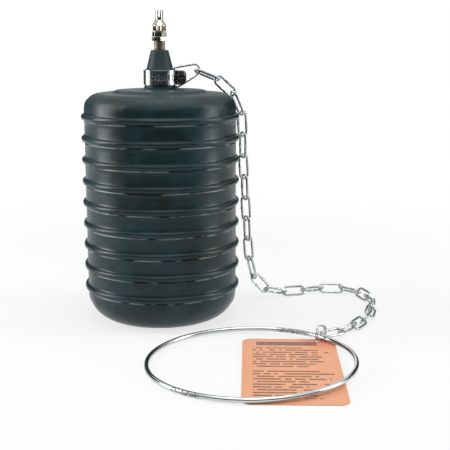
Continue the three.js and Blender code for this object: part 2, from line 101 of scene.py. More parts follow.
def start_material(name, metallic, roughness):
    material = bpy.data.materials.new(name)
    material.use_nodes = True
    tree = material.node_tree
    shader = tree.nodes["Principled BSDF"]
    shader.inputs["Metallic"].default_value = metallic
    shader.inputs["Roughness"].default_value = roughness
    place = add(tree, "ShaderNodeTexCoord", {})["Object"]
    return material, tree, shader, place


def per_size(millimetres):
    return 1 / (millimetres * MM)


print("helpers for materials are ready")

# %% [markdown]
# ## Moulded rubber
# The bag is a dark blue-green rubber, vulcanised in a polished mould. The eye sees a satin sheen
# with long soft highlights, slightly cloudy colour where the release agent dried, and a fine skin
# texture. Rubber isn't metallic. Its IOR is about 1.52, and its filled skin reflects a little less
# than clear material with that IOR would.

# %% Colour of the rubber
rubber, tree, shader, place = start_material("moulded_rubber", 0.0, 0.4)
shader.inputs["IOR"].default_value = 1.52
shader.inputs["Specular IOR Level"].default_value = 0.3
levels = add(tree, "ShaderNodeSeparateXYZ", {0: place})
patches = add(tree, "ShaderNodeTexNoise", {"Vector": place, "Scale": per_size(45), "Detail": 2.0})
depth = add(tree, "ShaderNodeMapRange", {
    "Value": patches[0], "From Min": 0.38, "From Max": 0.62})
body_colour = add(tree, "ShaderNodeMix", {
    0: depth[0], 6: linear("#122222"), 7: linear("#193238")}, data_type="RGBA")
smears = add(tree, "ShaderNodeTexNoise", {
    "Vector": place, "Scale": per_size(11), "Detail": 5.0, "Roughness": 0.6})
bloom = add(tree, "ShaderNodeMapRange", {
    "Value": smears[0], "From Min": 0.54, "From Max": 0.78, "To Max": 0.25})
bloomed = add(tree, "ShaderNodeMix", {
    0: bloom[0], 6: body_colour[2], 7: linear("#2f4d54")}, data_type="RGBA")
print("rubber colours are ready")

# %% [markdown]
# A pale line is painted into the narrow groove under each rib, stronger in some stretches than in
# others. It is a painted highlight that stands for the light the groove's lower lip catches from
# above.
# The height above the first rib, counted in rib pitches, has the same remainder at every groove,
# so one comparison finds them all.

# %% Painted highlight in the grooves
RIB_PITCH = 19.05
FIRST_RIB = 31.0
RIB_WIDTH = 5.6
HIGHLIGHT_BELOW_RIB = 0.75
HIGHLIGHT_REACH = 0.55
WALL_MIDDLE = 105
WALL_REACH = 85
rib_turn = add(tree, "ShaderNodeMapRange", {
    "Value": levels["Z"], "From Min": FIRST_RIB * MM,
    "From Max": (FIRST_RIB + RIB_PITCH) * MM}, clamp=False)
rib_share = add(tree, "ShaderNodeMath", {0: rib_turn[0]}, operation="FRACT")
groove_at = 1 - (RIB_WIDTH / 2 + HIGHLIGHT_BELOW_RIB) / RIB_PITCH
in_groove = add(tree, "ShaderNodeMath", {
    0: rib_share[0], 1: groove_at, 2: HIGHLIGHT_REACH / RIB_PITCH}, operation="COMPARE")
stretches = add(tree, "ShaderNodeTexNoise", {
    "Vector": place, "Scale": per_size(17), "Detail": 1.0})
painted_highlight = add(tree, "ShaderNodeMapRange", {
    "Value": stretches[0], "From Min": 0.42, "From Max": 0.55, "To Max": 0.55})
on_wall = add(tree, "ShaderNodeMath", {
    0: levels["Z"], 1: WALL_MIDDLE * MM, 2: WALL_REACH * MM}, operation="COMPARE")
for share in (in_groove, on_wall):
    painted_highlight = add(tree, "ShaderNodeMath", {0: painted_highlight[0], 1: share[0]}, operation="MULTIPLY")
# painted highlight: pale #a3b3b6 is mixed in along the groove under each rib, on the wall only
with_painted_highlight = add(tree, "ShaderNodeMix", {
    0: painted_highlight[0], 6: bloomed[2], 7: linear("#a3b3b6")}, data_type="RGBA")
tree.links.new(with_painted_highlight[2], shader.inputs["Base Color"])
print("painted_highlight", HIGHLIGHT_BELOW_RIB, "mm under each rib")

# %% [markdown]
# The mould's top plate is blasted, so the shoulder and the disc are duller than the ribbed wall.
# The skin's grain is about 0.2 mm; it is drawn at 0.9 mm so that it shows.

# %% Skin of the rubber
PLATE_LOW = 190
PLATE_HIGH = 199
sheen = add(tree, "ShaderNodeMapRange", {
    "Value": smears[0], "From Min": 0.3, "From Max": 0.7, "To Min": 0.25, "To Max": 0.38})
blasted = add(tree, "ShaderNodeMapRange", {
    "Value": levels["Z"], "From Min": PLATE_LOW * MM, "From Max": PLATE_HIGH * MM, "To Max": 0.16})
dulled = add(tree, "ShaderNodeMath", {0: sheen[0], 1: blasted[0]}, operation="ADD")
tree.links.new(dulled[0], shader.inputs["Roughness"])
grain = add(tree, "ShaderNodeTexNoise", {"Vector": place, "Scale": per_size(0.9), "Detail": 2.0})
skin = add(tree, "ShaderNodeBump", {
    "Height": grain[0], "Distance": 0.04 * MM, "Strength": 0.45})
waves = add(tree, "ShaderNodeTexNoise", {"Vector": place, "Scale": per_size(15), "Detail": 2.0})
uneven = add(tree, "ShaderNodeBump", {
    "Height": waves[0], "Distance": 0.5 * MM, "Strength": 0.3, "Normal": skin[0]})
tree.links.new(uneven[0], shader.inputs["Normal"])
print("material", rubber.name)

# %% [markdown]
# ## Bright plated metals
# Links and rings are drawn steel wire with bright zinc plate, and the valve is brass with nickel
# plate. Plating is glossy but not a mirror: it has a faint grain, cloudy spots a few millimetres
# wide, and duller skin in the spots. One recipe serves them all, with each metal's own colours,
# gloss and spot size. A metal keeps the default IOR. The real grain is under 0.1 mm; it is drawn
# at 0.6 to 2.5 mm so that it shows.


# %% Plated, rolled and turned metals
def plated_metal(name, bright, dull, roughness, spot_size, grain_size, depth):
    material, tree, shader, place = start_material(name, 1.0, roughness)
    clouds = add(tree, "ShaderNodeTexNoise", {
        "Vector": place, "Scale": per_size(spot_size), "Detail": 4.0, "Roughness": 0.6})
    spots = add(tree, "ShaderNodeMapRange", {
        "Value": clouds[0], "From Min": 0.45, "From Max": 0.72})
    colour = add(tree, "ShaderNodeMix", {
        0: spots[0], 6: linear(bright), 7: linear(dull)}, data_type="RGBA")
    tree.links.new(colour[2], shader.inputs["Base Color"])
    gloss = add(tree, "ShaderNodeMapRange", {
        "Value": spots[0], "To Min": roughness, "To Max": roughness + 0.15})
    tree.links.new(gloss[0], shader.inputs["Roughness"])
    grain = add(tree, "ShaderNodeTexNoise", {
        "Vector": place, "Scale": per_size(grain_size), "Detail": 2.0})
    skin = add(tree, "ShaderNodeBump", {
        "Height": grain[0], "Distance": depth * MM, "Strength": 0.6})
    tree.links.new(skin[0], shader.inputs["Normal"])
    print("material", material.name)
    return material


zinc = plated_metal("zinc_plated_wire", "#c3c7c9", "#85898b", 0.2, 3.2, 1.1, 0.05)
nickel = plated_metal("nickel_plated_brass", "#bdb8ad", "#857c6f", 0.17, 3.0, 1.6, 0.012)
stainless = plated_metal("rolled_stainless_strip", "#cfd4d6", "#969da0", 0.2, 6.0, 2.5, 0.012)
thread_steel = plated_metal("dull_threaded_steel", "#a59a8b", "#5d5448", 0.42, 2.2, 0.7, 0.08)
brass = plated_metal("turned_brass", "#cba95c", "#8f6f35", 0.28, 2.0, 0.6, 0.03)

# %% [markdown]
# ## Seal rubber
# The seal and the gasket inside the valve are small matt black nitrile rings. They only show when
# the cap is off, so a grain and a slight change of grey are enough. The real grain is finer than
# the 0.5 mm that it is drawn at.

# %% Seal rubber
seal_rubber, tree, shader, place = start_material("nitrile_seal", 0.0, 0.65)
dust = add(tree, "ShaderNodeTexNoise", {"Vector": place, "Scale": per_size(1.5)})
seal_grey = add(tree, "ShaderNodeMix", {
    0: dust[0], 6: linear("#151616"), 7: linear("#292b2b")}, data_type="RGBA")
tree.links.new(seal_grey[2], shader.inputs["Base Color"])
pores = add(tree, "ShaderNodeTexNoise", {"Vector": place, "Scale": per_size(0.5)})
seal_skin = add(tree, "ShaderNodeBump", {
    "Height": pores[0], "Distance": 0.03 * MM, "Strength": 0.5})
tree.links.new(seal_skin[0], shader.inputs["Normal"])
print("material", seal_rubber.name)

# %% [markdown]
# ## From a mesh in the making to a finished piece
# Every piece is drawn in millimetres, in its real place. The first function scales it to metres,
# gives it smooth shading with crisp edges, hangs it on the empty of the body that carries it and
# hides the plain solids that it stands for. Meshes drawn here also get their faces turned
# outwards;
# copies of the solids have that already. The last function dresses a solid as it is, with a fine
# bevel.


# %% Helpers for pieces
def finish_piece(name, bm, material, body, nodes=(), edge_angle=35, outward=True):
    bmesh.ops.scale(bm, vec=(MM, MM, MM), verts=bm.verts)
    if outward:
        bmesh.ops.recalc_face_normals(bm, faces=bm.faces)
    mesh = bpy.data.meshes.new(name)
    bm.to_mesh(mesh)
    bm.free()
    mesh.shade_smooth()
    mesh.set_sharp_from_angle(angle=math.radians(edge_angle))
    piece = bpy.data.objects.new(name, mesh)
    bpy.context.scene.collection.objects.link(piece)
    mesh.materials.append(material)
    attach(piece, body)
    if nodes:
        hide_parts(*nodes)
    print("piece", name, len(mesh.polygons), "faces")
    return piece


def merged_copy(node):
    bm = bmesh.new()
    bm.from_mesh(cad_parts[node].data)
    bmesh.ops.remove_doubles(bm, verts=bm.verts, dist=0.005 * MM)
    bmesh.ops.scale(bm, vec=(1 / MM, 1 / MM, 1 / MM), verts=bm.verts)
    return bm


def merge_flat_faces(bm, degrees):
    bmesh.ops.dissolve_limit(
        bm, angle_limit=math.radians(degrees), verts=bm.verts, edges=bm.edges)


def bevelled_solid(node, name, material, body, edge_angle, width, segments):
    bm = merged_copy(node)
    merge_flat_faces(bm, 1)
    piece = finish_piece(name, bm, material, body, [node], edge_angle, False)
    modifier = piece.modifiers.new("edge", "BEVEL")
    modifier.width = width * MM
    modifier.segments = segments
    modifier.limit_method = "ANGLE"
    modifier.angle_limit = math.radians(30)
    modifier.harden_normals = True


print("helpers for pieces are ready")


# %% Helpers for turned shapes
def turned(profile, steps, closed=False):
    bm = bmesh.new()
    verts = [bm.verts.new((r, 0, z)) for r, z in profile]
    ends = zip(verts, verts[1:] + ([verts[0]] if closed else []))
    edges = [bm.edges.new(pair) for pair in ends]
    bmesh.ops.spin(bm, geom=verts + edges, cent=(0, 0, 0), axis=(0, 0, 1),
                   angle=2 * math.pi, steps=steps, use_merge=True)
    bmesh.ops.remove_doubles(bm, verts=bm.verts, dist=0.001)
    return bm


def arc(r, z, radius, start, end, steps):
    angles = [math.radians(start + (end - start) * i / steps) for i in range(steps + 1)]
    return [(r + radius * math.cos(a), z + radius * math.sin(a)) for a in angles]


print("helpers for turned shapes are ready")

# %% [markdown]
# ## The bag
# The bag could be a cylinder with rings stuck on, but the real one comes out of one mould, so its
# whole section is drawn once: flat base, round corner, half-round ribs with a narrow groove under
# each, shoulder, raised disc and neck, then back down the inside. One spin makes the body.

# %% Section of the bag
BODY_RADIUS = 67.6
BODY_HEIGHT = 204.0
BASE_CORNER = 26.0
SHOULDER_CORNER = 14.0
WALL = 8.0
RIB_COUNT = 9
RIB_HEIGHT = 2.8
RIB_LIP = 0.35
GROOVE = 0.45


def rib_section(z):
    half = RIB_WIDTH / 2
    groove = [(0.0, 2.0), (0.12, 1.4), (0.05, 1.0), (-GROOVE, 0.5), (-GROOVE, 0.2)]
    points = [(BODY_RADIUS + out, z - half - down) for out, down in groove]
    for angle in range(-80, 91, 10):
        out = RIB_LIP + (RIB_HEIGHT - RIB_LIP) * math.cos(math.radians(angle))
        points.append((BODY_RADIUS + out, z + half * math.sin(math.radians(angle))))
    points += [(BODY_RADIUS + 0.1, z + half + 0.5), (BODY_RADIUS, z + half + 1.6)]
    return points + [(BODY_RADIUS, z + RIB_PITCH * share) for share in (0.42, 0.5, 0.58)]


base = BODY_RADIUS - BASE_CORNER, BASE_CORNER
shoulder = BODY_RADIUS - SHOULDER_CORNER, BODY_HEIGHT - SHOULDER_CORNER
bag_outside = [(0.0, 0.0), (30.0, 0.0)] + arc(*base, BASE_CORNER, -90, 0, 20)
for rib in range(RIB_COUNT):
    section = rib_section(FIRST_RIB + RIB_PITCH * rib)
    bag_outside += section if rib < RIB_COUNT - 1 else section[:-3]
bag_outside += arc(*shoulder, SHOULDER_CORNER, 0, 90, 16)[1:]
disc = [(46.0, 0.0), (42.6, 0.25), (41.3, 1.0), (40.3, 2.1), (39.0, 2.6), (30.0, 2.9)]
bag_outside += [(r, BODY_HEIGHT + up) for r, up in disc]
neck_foot = arc(16.9, 210.9, 3.4, 270, 180, 8)
clamp_seat_top = [(13.5, 223.9), (13.3, 224.4), (12.6, 224.6), (11.95, 224.8), (11.7, 225.2)]
nose_top = [(8.0, 240.2), (7.7, 240.9), (7.1, 241.35), (6.6, 241.4)]
bag_outside += neck_foot + clamp_seat_top + nose_top
bag_inside = [(5.4, 241.4), (5.4, 237.3), (7.0, 237.3), (9.4, 224.6), (9.4, 196.0)]
bag_inside += arc(*shoulder, SHOULDER_CORNER - WALL, 90, 0, 5)
bag_inside += arc(*base, BASE_CORNER - WALL, 0, -90, 6) + [(0.0, WALL)]
print("bag section", len(bag_outside), "+", len(bag_inside), "points")

# %% [markdown]
# A rubber moulding is never quite true. Small waves of a quarter of a millimetre, moved along the
# radius, break up the highlights, and the groove under each rib is deeper in some stretches than
# in others, so its bright line comes and goes as on the real bag.

# %% Bag
BAG_STEPS = 200
OUTER_SKIN = 3
FOOT_HEIGHT = 12
LONG_WAVE, LONG_OUT = 26, 0.2
SHORT_WAVE, SHORT_OUT = 7, 0.08
STRETCH = 16
STRETCH_SHIFT = Vector((3, 7, 1))
bag = turned(bag_outside + bag_inside, BAG_STEPS)
for vert in bag.verts:
    radius = math.hypot(vert.co.x, vert.co.y)
    if radius > BODY_RADIUS - OUTER_SKIN and vert.co.z > FOOT_HEIGHT:
        wave = LONG_OUT * noise.noise(vert.co / LONG_WAVE)
        wave += SHORT_OUT * noise.noise(vert.co / SHORT_WAVE)
        if radius < BODY_RADIUS - 0.3:
            shallow = noise.noise(vert.co / STRETCH + STRETCH_SHIFT)
            wave += GROOVE * min(max(shallow * 3.2, 0), 0.9)
        vert.co.xy *= 1 + wave / radius
finish_piece("bag", bag, rubber, "plug", ["plug_body"], 50)

# %% [markdown]
# ## Valve and its stub
# The stub is a short pipe thread. Its ridges are 0.94 mm apart, which is a pixel or so here, so
# plain ridges round the pipe stand for the helix. The two hexagons are turned from hexagon bar:
# the plain solids have the right shape, and a fine bevel gives their edges the light they catch.

# %% Threaded stub
THREAD_PITCH = 0.94
THREAD_DEPTH = 0.5
PIPE_WALL = 1.6
nipple_low, nipple_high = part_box("pipe_nipple")
crest, bottom, top = nipple_high[0] / MM, nipple_low[2] / MM, nipple_high[2] / MM
root, bore = crest - THREAD_DEPTH, crest - PIPE_WALL
ridges = [(root, bottom)]
for turn in range(int((top - bottom) / THREAD_PITCH)):
    z = bottom + THREAD_PITCH * turn
    ridges += [(root, z + 0.12), (crest, z + 0.42), (crest, z + 0.54), (root, z + 0.84)]
stub = turned(ridges + [(root, top), (bore, top), (bore, bottom)], 64, True)
finish_piece("threaded_stub", stub, thread_steel, "plug", ["pipe_nipple"])

# %% Hexagons
for node, name in (("hex_reducer", "reducer_hexagon"), ("valve_body", "valve_hexagon")):
    bevelled_solid(node, name, nickel, "plug", 25, 0.35, 3)

# %% [markdown]
# ## Cap
# The cap has a skirt with fine straight knurls, a smooth cone and a slim fork for the valve core.
# The solid gives the body; the knurls are a thin sleeve on the skirt, made by moving every second
# column of its outer points outwards.

# %% Cap and its knurls
KNURLS = 40
KNURL_SWELL = 1.045
SLEEVE_FACE = 6.4
bevelled_solid("valve_cap", "cap", nickel, "cap", 25, 0.25, 3)
cap_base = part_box("valve_cap")[0][2] / MM
sleeve = [(6.0, 0.6), (6.35, 0.6), (6.45, 0.9), (6.45, 4.6), (6.35, 4.9), (6.0, 4.9)]
knurled = turned([(r, cap_base + z) for r, z in sleeve], 2 * KNURLS, True)
for vert in knurled.verts:
    column = round(math.atan2(vert.co.y, vert.co.x) / math.pi * KNURLS)
    if column % 2 and math.hypot(vert.co.x, vert.co.y) > SLEEVE_FACE:
        vert.co.xy *= KNURL_SWELL
finish_piece("cap_knurls", knurled, nickel, "cap", (), 20)

# %% [markdown]
# ## Clamp
# Band, housing and screw keep the shapes of the solids, which have the slots and the hollow
# housing already. Sheared strip has slightly rounded edges, and pressed steel has softer ones.

# %% Clamp
for node, name, width, body, slot, material in (
    ("clamp_band", "slotted_band", 0.15, "plug", "stainless", stainless),
    ("clamp_housing", "worm_housing", 0.3, "plug", "stainless", stainless),
    ("clamp_screw", "worm_screw", 0.25, "screw", "nickel", nickel),
):
    bevelled_solid(node, name, material, body, 30, width, 2)

# %% [markdown]
# ## Chain
# A welded link is wire bent to a loop and butt-welded on one leg, which leaves a slight bulge.
# One link is made from a circle that is spun round each bow and extruded along each leg. Its legs
# come a little closer together towards the bows. Each copy is then laid where the plain link
# lies: the spread of that solid's points gives its length, width and thickness directions.

# %% One welded link
LINK_LENGTH = 26.0
LINK_WIDTH = 11.0
LINK_WIRE = 2.3
LINK_BOW = (LINK_WIDTH - LINK_WIRE) / 2
LINK_LEG = (LINK_LENGTH - LINK_WIDTH) / 2
NARROWING = 0.035
# Places along each leg, from one bow to the other, with the wire's swelling there.
WELDED = [(3.2, 1.0), (1.7, 1.02), (0.9, 1.14), (-0.9, 1.14), (-1.7, 1.02), (-3.2, 1.0),
          (-LINK_LEG, 1.0)]
PLAIN = [(2.5, 1.0), (-2.5, 1.0), (-LINK_LEG, 1.0)]


def draw_leg(bm, geom, stations, side):
    here = LINK_LEG * side
    for x, size in stations:
        edges = [g for g in geom if isinstance(g, bmesh.types.BMEdge)]
        new = bmesh.ops.extrude_edge_only(bm, edges=edges)["geom"]
        verts = [g for g in new if isinstance(g, bmesh.types.BMVert)]
        bmesh.ops.translate(bm, verts=verts, vec=(x * side - here, 0, 0))
        here = x * side
        centre = Vector((here, LINK_BOW * side, 0))
        wire = max((v.co - centre).length for v in verts)
        swell = size * LINK_WIRE / 2 / wire
        bmesh.ops.scale(bm, verts=verts, vec=[swell] * 3, space=Matrix.Translation(-centre))
        rims = [g for g in new if isinstance(g, bmesh.types.BMEdge)]
        geom = verts + [g for g in rims if all(v in verts for v in g.verts)]
    return geom


def welded_link():
    bm = bmesh.new()
    upright = Matrix.Rotation(math.pi / 2, 4, "Y")
    wire = bmesh.ops.create_circle(bm, segments=12, radius=LINK_WIRE / 2, matrix=upright)["verts"]
    bmesh.ops.translate(bm, verts=wire, vec=(LINK_LEG, -LINK_BOW, 0))
    geom = wire + list(bm.edges)
    for side, stations in ((1, WELDED), (-1, PLAIN)):
        spun = bmesh.ops.spin(bm, geom=geom, cent=(LINK_LEG * side, 0, 0), axis=(0, 0, 1),
                              angle=math.pi, steps=14)
        geom = [g for g in spun["geom_last"] if not isinstance(g, bmesh.types.BMFace)]
        geom = draw_leg(bm, geom, stations, side)
    bmesh.ops.remove_doubles(bm, verts=bm.verts, dist=0.01)
    for vert in bm.verts:
        bow_share = math.cos(vert.co.x / LINK_LENGTH * math.pi)
        vert.co.y *= 1 - NARROWING + NARROWING * bow_share
    return bm


print("a link is", LINK_LENGTH, "mm long")


# %% Lay the links
def lie_of(node):
    points = np.array([v.co[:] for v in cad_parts[node].data.vertices]) / MM
    points = np.unique(np.round(points, 3), axis=0)
    middle = points.mean(axis=0)
    ways = np.linalg.eigh(np.cov((points - middle).T))[1]
    length, width = Vector(ways[:, 2]), Vector(ways[:, 1])
    turn = Matrix((length, width, length.cross(width))).transposed().to_4x4()
    return Matrix.Translation(middle) @ turn


link_nodes = sorted(
    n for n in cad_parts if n.startswith("chain_link_") and n != "chain_link_01")
for node in link_nodes:
    link = welded_link()
    bmesh.ops.transform(link, matrix=lie_of(node), verts=link.verts)
    finish_piece(node.replace("_", "-"), link, zinc, "plug", [node], 60)
print(len(link_nodes), "links")

# %% [markdown]
# The pear-shaped end link and the split ring follow their solids: the merged mesh gets a
# subdivision surface, which rounds the wire, and a slight swelling first makes up for the girth
# that subdivision takes away.


# %% End link and split ring
def rounded_wire(node, name, swell):
    bm = merged_copy(node)
    bmesh.ops.join_triangles(
        bm, faces=bm.faces, angle_face_threshold=0.9, angle_shape_threshold=0.9)
    bm.normal_update()
    for vert, way in [(v, v.normal.copy()) for v in bm.verts]:
        vert.co += way * swell
    piece = finish_piece(name, bm, zinc, "plug", [node], 80, False)
    smooth = piece.modifiers.new("round", "SUBSURF")
    smooth.levels = smooth.render_levels = 2


rounded_wire("chain_link_01", "end_link", 0.12)
rounded_wire("split_ring", "split_ring_coil", 0.05)

# %% [markdown]
# ## Pull ring
# The big ring is one length of 4 mm wire, bent round and butt-welded. A circle spun a full turn
# makes it. Its plane is taken from the solid, which leans on the tag.

# %% Place of the pull ring
PULL_RADIUS = 82.0
PULL_WIRE = 4.0
ring_points = np.array([v.co[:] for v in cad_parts["pull_ring"].data.vertices]) / MM
ring_points = np.unique(np.round(ring_points, 3), axis=0)
ring_middle = Vector((ring_points.min(axis=0) + ring_points.max(axis=0)) / 2)
ring_spread = np.cov((ring_points - ring_points.mean(axis=0)).T)
ring_normal = Vector(np.linalg.eigh(ring_spread)[1][:, 0])
ring_normal *= math.copysign(1, ring_normal.z)
ring_tilt = Vector((0, 0, 1)).rotation_difference(ring_normal).to_matrix().to_4x4()
print("pull ring at", [round(c, 2) for c in ring_middle])
print("its normal is", [round(c, 3) for c in ring_normal])

# %% [markdown]
# The wire is drawn and plated, so its reflections run on smoothly for a hand's width. Only the
# weld and the stretch opposite it, where the bender held the wire, are dull and rough: a distance
# from each of those two places blends that skin in.

# %% Zinc of the pull ring
DULL_STRETCHES = [(math.radians(angle), reach) for angle, reach in ((-127, 15), (62, 17))]
ring_zinc, tree, shader, place = start_material("zinc_plated_ring", 1.0, 0.16)
dullness = 0.0
for angle, reach in DULL_STRETCHES:
    way = Vector((math.cos(angle), math.sin(angle), 0))
    spot = (ring_middle + way * PULL_RADIUS) * MM
    far = add(tree, "ShaderNodeVectorMath", {0: place, 1: spot}, operation="DISTANCE")
    near = add(tree, "ShaderNodeMapRange", {
        "Value": far["Value"], "From Min": 0.7 * reach * MM, "From Max": reach * MM,
        "To Min": 1.0, "To Max": 0.0})
    dullness = add(tree, "ShaderNodeMath", {0: dullness, 1: near[0]}, operation="MAXIMUM")[0]
flecks = add(tree, "ShaderNodeTexNoise", {"Vector": place, "Scale": per_size(2.2), "Detail": 4.0})
fleck_share = add(tree, "ShaderNodeMapRange", {
    "Value": flecks[0], "From Min": 0.4, "From Max": 0.62, "To Min": 0.1})
dull_share = add(tree, "ShaderNodeMath", {0: dullness, 1: fleck_share[0]}, operation="MULTIPLY")
ring_colour = add(tree, "ShaderNodeMix", {
    0: dull_share[0], 6: linear("#c9cdce"), 7: linear("#5f6465")}, data_type="RGBA")
tree.links.new(ring_colour[2], shader.inputs["Base Color"])
ring_gloss = add(tree, "ShaderNodeMapRange", {
    "Value": dull_share[0], "To Min": 0.14, "To Max": 0.5})
tree.links.new(ring_gloss[0], shader.inputs["Roughness"])
ring_skin = add(tree, "ShaderNodeBump", {
    "Height": flecks[0], "Distance": 0.06 * MM, "Strength": 0.5})
tree.links.new(ring_skin[0], shader.inputs["Normal"])
print("material", ring_zinc.name)

# %% Pull ring
ring = bmesh.new()
upright = Matrix.Rotation(math.pi / 2, 4, "X")
wire = bmesh.ops.create_circle(ring, segments=18, radius=PULL_WIRE / 2, matrix=upright)["verts"]
bmesh.ops.translate(ring, verts=wire, vec=(PULL_RADIUS, 0, 0))
bmesh.ops.spin(ring, geom=wire + list(ring.edges), cent=(0, 0, 0), axis=(0, 0, 1),
               angle=2 * math.pi, steps=240, use_merge=True)
bmesh.ops.remove_doubles(ring, verts=ring.verts, dist=0.001)
ring_lie = Matrix.Translation(ring_middle) @ ring_tilt
bmesh.ops.transform(ring, matrix=ring_lie, verts=ring.verts)
finish_piece("pull_ring_wire", ring, ring_zinc, "ring", ["pull_ring"], 80)

# %% [markdown]
# ## Tag
# The tag is die-cut from salmon-coloured coated card, 0.6 mm thick, with round corners and a
# punched hole. Its hole end lies on the split ring. A Mapping node that is turned and placed as
# the card is gives distances along and across the card, and the rows of plain dark bars are drawn
# from those: a thick bar at the head, and thin rows with gaps below it. Round the hole the colour
# is painted darker and redder. This is painted shade where the card's end lifts over the split
# ring.
# Card fibres are finer than 0.1 mm; they are drawn at 0.8 and 3 mm.

# %% Coated card
TAG_AT = Vector((135.94, -84.99, 2.05)) * MM
TAG_TURN = (0, math.radians(0.81), math.radians(-91.5))
HOLE_SHADE_AT = Vector((5, 2, 0)) * MM
card, tree, shader, place = start_material("coated_card", 0.0, 0.5)
on_card = add(tree, "ShaderNodeMapping", {
    "Vector": place, "Location": TAG_AT, "Rotation": TAG_TURN}, vector_type="TEXTURE")
sides = add(tree, "ShaderNodeSeparateXYZ", {0: on_card[0]})
along, across = sides["X"], sides["Y"]
fibres = add(tree, "ShaderNodeTexNoise", {"Vector": place, "Scale": per_size(3), "Detail": 4.0})
tint = add(tree, "ShaderNodeMapRange", {
    "Value": fibres[0], "From Min": 0.35, "From Max": 0.65, "To Max": 0.5})
salmon = add(tree, "ShaderNodeMix", {
    0: tint[0], 6: linear("#efac84"), 7: linear("#e79f78")}, data_type="RGBA")
# painted shade: the card turns darker and redder (#dc6f55) round the hole, where its end lifts
hole_far = add(tree, "ShaderNodeVectorMath", {0: on_card[0], 1: HOLE_SHADE_AT}, operation="DISTANCE")
hole_shade = add(tree, "ShaderNodeMapRange", {
    "Value": hole_far["Value"], "From Min": 4 * MM, "From Max": 22 * MM,
    "To Min": 0.75, "To Max": 0.0})
shaded_round_hole = add(tree, "ShaderNodeMix", {
    0: hole_shade[0], 6: salmon[2], 7: linear("#dc6f55")}, data_type="RGBA")
print("card colours are ready")

# %% Rows of plain bars
ROW_PITCH = 5.4
ROW_INK = 0.48
FIRST_ROW, LAST_ROW = 22, 131
ROW_START = -55
SHORTEST, LONGEST = -14, 8
STROKE = 2.6
GAP_CHANCE = 0.2
BLANK_ROW = 13.0
row_count = add(tree, "ShaderNodeMath", {0: along, 1: per_size(ROW_PITCH)}, operation="MULTIPLY")
row = add(tree, "ShaderNodeMath", {0: row_count[0]}, operation="FLOOR")
in_row = add(tree, "ShaderNodeMath", {0: row_count[0]}, operation="FRACT")
row_dark = add(tree, "ShaderNodeMath", {0: in_row[0], 1: ROW_INK}, operation="LESS_THAN")
row_end = add(tree, "ShaderNodeTexWhiteNoise", {"W": row[0]}, noise_dimensions="1D")
reach = add(tree, "ShaderNodeMapRange", {
    "Value": row_end["Value"], "To Min": SHORTEST * MM, "To Max": LONGEST * MM})
before_end = add(tree, "ShaderNodeMath", {0: across, 1: reach[0]}, operation="LESS_THAN")
after_start = add(tree, "ShaderNodeMath", {0: across, 1: ROW_START * MM}, operation="GREATER_THAN")
stroke = add(tree, "ShaderNodeMath", {0: across, 1: per_size(STROKE)}, operation="MULTIPLY")
stroke_cell = add(tree, "ShaderNodeMath", {0: stroke[0]}, operation="FLOOR")
cell_place = add(tree, "ShaderNodeCombineXYZ", {"X": stroke_cell[0], "Y": row[0]})
cell_chance = add(tree, "ShaderNodeTexWhiteNoise", {
    "Vector": cell_place[0]}, noise_dimensions="2D")
filled = add(tree, "ShaderNodeMath", {
    0: cell_chance["Value"], 1: GAP_CHANCE}, operation="GREATER_THAN")
low_end = add(tree, "ShaderNodeMath", {0: along, 1: FIRST_ROW * MM}, operation="GREATER_THAN")
high_end = add(tree, "ShaderNodeMath", {0: along, 1: LAST_ROW * MM}, operation="LESS_THAN")
blank = add(tree, "ShaderNodeMath", {0: row[0], 1: BLANK_ROW, 2: 0.5}, operation="COMPARE")
printed = add(tree, "ShaderNodeMath", {0: 1.0, 1: blank[0]}, operation="SUBTRACT")
for share in (row_dark, before_end, after_start, filled, low_end, high_end):
    printed = add(tree, "ShaderNodeMath", {0: printed[0], 1: share[0]}, operation="MULTIPLY")
print("rows", ROW_PITCH, "mm apart")

# %% Head bar and ink
head = 1.0
for value, edge, operation in (
    (along, 8, "GREATER_THAN"), (along, 17, "LESS_THAN"),
    (across, -2, "LESS_THAN"), (across, -52, "GREATER_THAN"),
):
    side = add(tree, "ShaderNodeMath", {0: value, 1: edge * MM}, operation=operation)
    head = add(tree, "ShaderNodeMath", {0: head, 1: side[0]}, operation="MULTIPLY")[0]
ink = add(tree, "ShaderNodeMath", {0: head, 1: printed[0]}, operation="MAXIMUM")
wear = add(tree, "ShaderNodeMapRange", {
    "Value": fibres[0], "From Min": 0.3, "From Max": 0.7, "To Min": 0.9, "To Max": 0.55})
ink_share = add(tree, "ShaderNodeMath", {0: ink[0], 1: wear[0]}, operation="MULTIPLY")
printed_card = add(tree, "ShaderNodeMix", {
    0: ink_share[0], 6: shaded_round_hole[2], 7: linear("#4a3534")}, data_type="RGBA")
tree.links.new(printed_card[2], shader.inputs["Base Color"])
pulp = add(tree, "ShaderNodeTexNoise", {"Vector": place, "Scale": per_size(0.8)})
card_skin = add(tree, "ShaderNodeBump", {
    "Height": pulp[0], "Distance": 0.03 * MM, "Strength": 0.4})
tree.links.new(card_skin[0], shader.inputs["Normal"])
print("material", card.name)

# %% Tag
tag = merged_copy("tag")
merge_flat_faces(tag, 0.2)
finish_piece("tag_card", tag, card, "plug", ["tag"], 40, False)

# %% [markdown]
# ## Pieces that keep their solids
# The neck insert and the valve's core sit inside the neck and the cap. Their solids are right as
# they are, so they only get their metals and rubbers.

# %% Materials for the inner pieces
for node, material in (
    ("neck_insert", thread_steel),
    ("valve_core_barrel", brass),
    ("valve_core_pin", brass),
    ("valve_core_spring", stainless),
    ("valve_core_seal", seal_rubber),
    ("cap_gasket", seal_rubber),
):
    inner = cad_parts[node]
    if not inner.material_slots:
        inner.data.materials.append(material)
    for slot in inner.material_slots:
        slot.material = material
    print(node, "gets", material.name)

